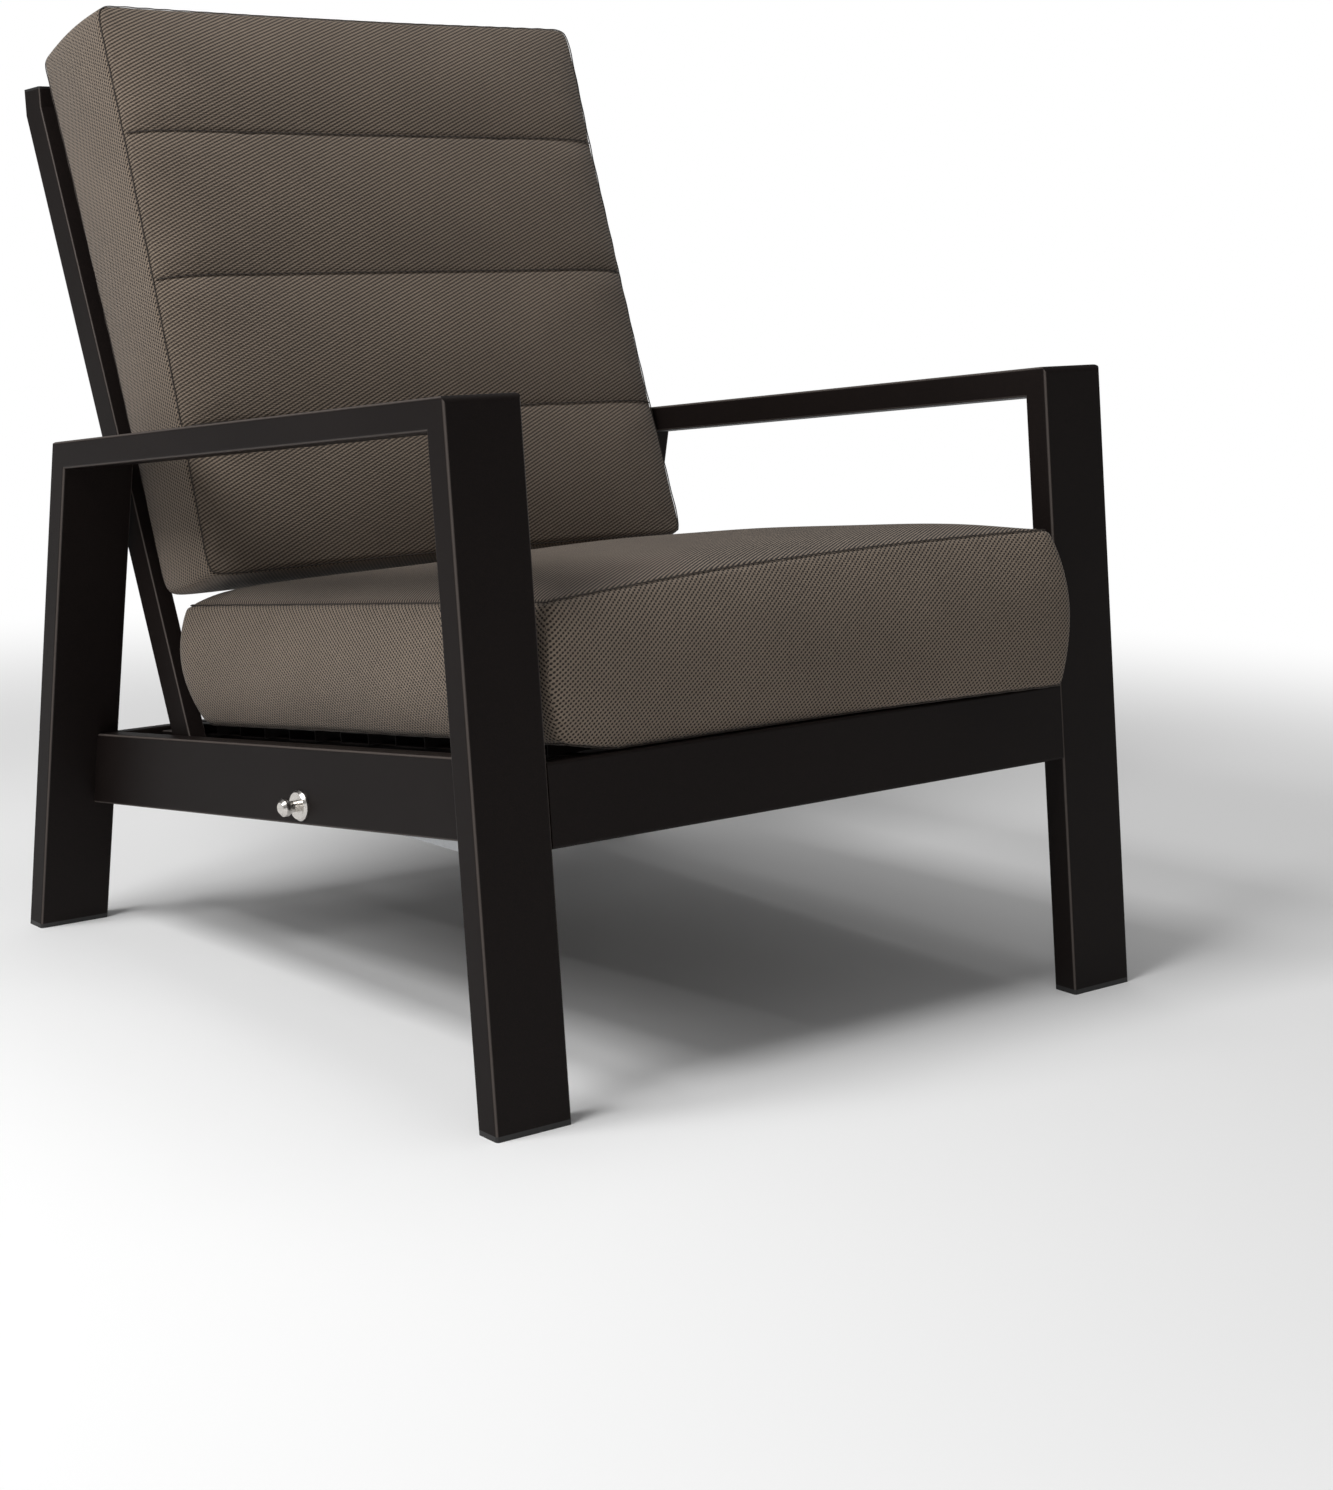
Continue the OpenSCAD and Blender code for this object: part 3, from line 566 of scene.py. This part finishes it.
def fill_with_pressure(piece, held):
    """Swells a cushion as its filling does, where no seam, slat or stitch holds it."""
    mesh = piece.data
    start = [v.co.copy() for v in mesh.vertices]
    group = piece.vertex_groups.new(name="held")
    group.add(held, 1.0, "REPLACE")
    cloth = piece.modifiers.new("filling", "CLOTH")
    cloth.settings.vertex_group_mass = "held"
    for key, value in cover.items():
        setattr(cloth.settings, key, value)
    cloth.settings.use_pressure = True
    cloth.settings.uniform_pressure_force = pressure
    cloth.settings.effector_weights.gravity = 0
    cloth.collision_settings.use_collision = False
    scene = bpy.context.scene
    scene.frame_start = 1
    scene.frame_end = swell_frames
    for step in range(1, swell_frames + 1):
        scene.frame_set(step)
    solved = piece.evaluated_get(bpy.context.evaluated_depsgraph_get()).data
    ends = [v.co.copy() for v in solved.vertices]
    piece.modifiers.remove(cloth)
    piece.vertex_groups.remove(group)
    scene.frame_set(1)
    for vert, a, b in zip(mesh.vertices, start, ends):
        move = b - a
        if move.length > swell_cap:
            move *= swell_cap / move.length
        vert.co = a + move
    mesh.update()


def sew(piece, spots, on_seam, depth):
    """Draws the cloth in along a seam, in small puckers, and returns the seam's vertices."""
    mesh = piece.data
    found = [i for i, spot in enumerate(spots) if on_seam(*spot)]
    normals = [mesh.vertices[i].normal.copy() for i in found]
    for i, normal in zip(found, normals):
        vert = mesh.vertices[i]
        along = sum(a * b for a, b in zip(vert.co, pucker_slant))
        wave = math.sin(2 * math.pi * along / pucker_length)
        vert.co -= normal * (depth + seam_pucker * wave)
    mesh.update()
    return found


def soften(piece):
    """Rounds the net to a smooth cloth surface."""
    smooth = piece.modifiers.new("smooth cloth", "SUBSURF")
    smooth.levels = 1
    smooth.render_levels = 1


def on_surface(piece, found):
    """Places of a seam's vertices on the smooth cloth, raised so that the thread shows."""
    smooth = piece.evaluated_get(bpy.context.evaluated_depsgraph_get()).data
    return [smooth.vertices[i].co + smooth.vertices[i].normal * thread_lift for i in found]


def thread_line(name, points, closed, body):
    """A line of stitching, as a thin round thread half sunk in its seam, whose dark colour also
    paints the seam's shade.
    """
    line = bpy.data.curves.new(name, "CURVE")
    line.dimensions = "3D"
    line.bevel_depth = thread_d / 2
    line.bevel_resolution = 1
    line.use_fill_caps = not closed
    spline = line.splines.new("POLY")
    spline.points.add(len(points) - 1)
    for spot, point in zip(spline.points, points):
        spot.co = (*point, 1)
    spline.use_cyclic_u = closed
    line.materials.append(thread)
    piece = collect(bpy.data.objects.new(name, line))
    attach(piece, body)


def stitch(piece, spots, body, rings, rows=()):
    """Sews the seams round a cushion and the channels across it, and lays their threads."""
    seams = {}
    for name, level in rings.items():
        def on_ring(u, v, w, level=level):
            return abs(w - level) < same_place and on_side(u, v)
        found = sew(piece, spots, on_ring, seam_depth)
        seams[name] = sorted(found, key=lambda i: math.atan2(spots[i][1], spots[i][0])), True
    for number, row in enumerate(rows, 1):
        def on_row(u, v, w, row=row):
            return on_top(w) and abs(v - row) < same_place and not on_edge(u)
        found = sew(piece, spots, on_row, channel_draw)
        seams[f"back_channel_{number}"] = sorted(found, key=lambda i: spots[i][0]), False
    soften(piece)
    for name, (found, closed) in seams.items():
        thread_line(name, on_surface(piece, found), closed, body)


def seat_cushion():
    """The seat's boxed cushion, which rises at its front and sags beyond its slats."""
    turn = turned_like("seat_slat_1", "seat_slat_7")
    low, high = extent("seat_cushion", turn)
    width = high.x - low.x - 2 * cad_side_bulge
    length = high.y - low.y - cad_side_bulge - seat_lean
    crown = before_filling(seat_crown, seat_start_crown)
    bulge = before_filling(side_bulge, start_bulge)
    place = (0, low.y + cad_side_bulge + length / 2, low.z)
    first, last = extent("seat_slat_1", turn)[0], extent("seat_slat_7", turn)[1]

    def sag(u, x, y):
        """How far the lower edge hangs beyond the slats' ends and the outer slats."""
        y += place[1]
        beyond = max(abs(x) + first.x, first.y - y, y - last.y, 0)
        return seat_sag * min(beyond / sag_reach, 1) * min((u + 1) * sag_left_ramp, 1)

    def form(u, v, w):
        k, right, front = (w + 1) / 2, (u + 1) / 2, (1 - v) / 2
        full = math.sin(math.pi * k)
        inset = seat_seam_inset * (1 - math.sqrt(max(full, 0)))
        x, y = plan(u, v, width - 2 * inset, length - 2 * inset)
        if k < 0.5:
            # The lower seam stays out at the front, so that no light shows below it
            y -= inset * front
        y -= seat_corner_push * right ** push_fades[0] * front ** push_fades[1]
        top = seat_height + seat_seam_rise * (1 - u * u) * front
        top += seat_corner_lift * right ** lift_fades[0] * front ** lift_fades[1]
        top += (crown - seat_rear_fall * (1 - u * u) * (1 - front)) * swell(u, v)
        z = mix(-sag(u, x, y), top, k)
        rear_corner = max(u * u * v, 0) ** 2
        inside = (1 - abs(v) ** puff_edge_power) * (1 - abs(u) ** puff_edge_power)
        z += seat_rear_puff * k * rear_corner * inside
        way = outward(u, v)
        end_bulge = seat_front_bulge if way.y < 0 else seat_rear_bulge
        out = mix(bulge, end_bulge, way.y ** 2) * full
        return Vector((x, y + k * (v + 1) / 2 * seat_lean, z)) + out * way

    def held(u, v, w):
        return on_bottom(w) or (on_edge(w) and on_side(u, v))

    piece, spots = build_cushion(
        "seat_cushion_cover", seat_cloth, seat_cells, ([-1, 1], [-1, 1], [-1, 1]),
        form, held, turn, place)
    stitch(piece, spots, "root", {"seat_upper_seam": 1, "seat_lower_seam": -1})
    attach(piece, "root")
    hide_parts("seat_cushion")


def back_cushion():
    """The back's boxed cushion, thicker towards its top, with channels sewn across it."""
    turn = turned_like("back_slat_1", "back_slat_5")
    low, high = extent("back_cushion", turn)
    cad_shift = back_rear_shift / cad_side_steps
    width = high.x - low.x - 2 * cad_side_bulge
    length = high.y - low.y - 2 * cad_side_bulge - cad_shift
    crown = before_filling(back_crown, back_start_crown)
    bulge = before_filling(side_bulge, start_bulge)
    place = (0, low.y + cad_side_bulge - cad_shift + length / 2, low.z)
    stitched = [2 * (channel_first + i * channel_pitch) / length - 1 for i in range(channels)]

    def groove(v):
        """A channel's depth, from 0 between the channels to 1 at each row of stitches."""
        return max(math.exp(-(((v - c) * length / 2 / channel_half_w) ** 2)) for c in stitched)

    def form(u, v, w):
        k, right, up = (w + 1) / 2, (u + 1) / 2, (v + 1) / 2
        x, y = plan(u, v, width, length)
        x += back_low_spread * k * right ** spread_fades[0] * (1 - up) ** spread_fades[1]
        rear = mix(back_rear_low, back_rear_top, up)
        front = rear + mix(back_low_t, back_top_t, up)
        front += (crown - channel_depth * groove(v)) * swell(u, v)
        z = mix(rear * (1 - swell(u, v)), front, k)
        out = bulge * math.sin(math.pi * k)
        return Vector((x, y + (1 - k) * back_rear_shift, z)) + out * outward(u, v)

    def held(u, v, w):
        on_channel = on_top(w) and min(abs(v - c) for c in stitched) < same_place
        return on_bottom(w) or on_channel or (on_edge(w) and on_side(u, v))

    piece, spots = build_cushion(
        "back_cushion_cover", back_cloth, back_cells, ([-1, 1], [-1, *stitched, 1], [-1, 1]),
        form, held, turn, place)
    stitch(piece, spots, "back", {"back_front_seam": 1, "back_rear_seam": -1}, stitched)
    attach(piece, "back")
    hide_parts("back_cushion")


# Stage, light and camera
def floor():
    """A wide pale floor that fades into the white background."""
    made = material("studio_floor")
    tree = made.node_tree
    distance = add(tree, "VectorMath", {"operation": "LENGTH", 0: on_object(tree)})
    fade = add(tree, "MapRange", {
        "interpolation_type": "SMOOTHSTEP", "Value": distance.outputs["Value"],
        "From Min": fade_from, "From Max": fade_to,
    }).outputs[0]
    rays = add(tree, "LightPath", {}).outputs
    seen = maths(tree, "ADD", rays["Is Camera Ray"], rays["Is Glossy Ray"], clamp=True)
    seen_any = maths(tree, "ADD", seen, rays["Is Transmission Ray"], clamp=True)
    far = maths(tree, "MULTIPLY", fade, seen_any)
    paper = add(tree, "BsdfDiffuse", {"Color": (floor_white, floor_white, floor_white, 1)})
    glow = add(tree, "Emission", {"Color": white, "Strength": 1.0})
    both = add(tree, "MixShader", {0: far, 1: paper.outputs[0], 2: glow.outputs[0]})
    add(tree, "OutputMaterial", {"Surface": both.outputs[0]})
    net = bmesh.new()
    bmesh.ops.create_circle(net, cap_ends=True, segments=96, radius=floor_radius)
    mesh = bpy.data.meshes.new("floor")
    net.to_mesh(mesh)
    net.free()
    mesh.materials.append(made)
    collect(bpy.data.objects.new("floor", mesh))


def background():
    """White where the camera looks past the floor, and a plain soft sky for the light."""
    world = bpy.data.worlds.new("studio")
    bpy.context.scene.world = world
    world.use_nodes = True
    tree = world.node_tree
    tree.nodes.clear()
    rays = add(tree, "LightPath", {}).outputs
    seen = maths(tree, "ADD", rays["Is Camera Ray"], rays["Is Transmission Ray"], clamp=True)
    sky = add(tree, "Background", {"Color": white, "Strength": sky_level})
    paper = add(tree, "Background", {"Color": white, "Strength": 1.0})
    both = add(tree, "MixShader", {0: seen, 1: sky.outputs[0], 2: paper.outputs[0]})
    add(tree, "OutputWorld", {"Surface": both.outputs[0]})


def softbox(name, place, side, watts):
    """A square lamp that faces the chair."""
    lamp = bpy.data.lights.new(name, "AREA")
    lamp.shape = "RECTANGLE"
    lamp.size = lamp.size_y = side
    lamp.energy = watts
    holder = collect(bpy.data.objects.new(name, lamp))
    holder.location = place
    holder.rotation_euler = (light_aim - Vector(place)).to_track_quat("-Z", "Y").to_euler()


def light():
    """The sky and the softboxes."""
    background()
    for name, settings in softboxes.items():
        softbox(name, *settings)


def camera():
    """The photograph's own viewpoint, solved from the chair's straight edges."""
    forward = Vector((
        math.sin(camera_yaw) * math.cos(camera_pitch),
        math.cos(camera_yaw) * math.cos(camera_pitch),
        math.sin(camera_pitch),
    ))
    level = Vector((math.cos(camera_yaw), -math.sin(camera_yaw), 0))
    upright = level.cross(forward)
    right = math.cos(camera_roll) * level + math.sin(camera_roll) * upright
    up = -math.sin(camera_roll) * level + math.cos(camera_roll) * upright
    lens = bpy.data.cameras.new("photo_view")
    lens.sensor_width = sensor
    lens.lens = sensor * focal_px / max(photo_width_px, photo_height_px)
    lens.clip_start = nearest_seen
    view = collect(bpy.data.objects.new("photo_view", lens))
    turn = Matrix((right, up, -forward)).transposed().to_4x4()
    view.matrix_world = Matrix.Translation(camera_place) @ turn
    bpy.context.scene.camera = view


camera()
dress_frame()
seat_cushion()
back_cushion()
floor()
light()
bpy.context.scene.view_settings.view_transform = "Standard"
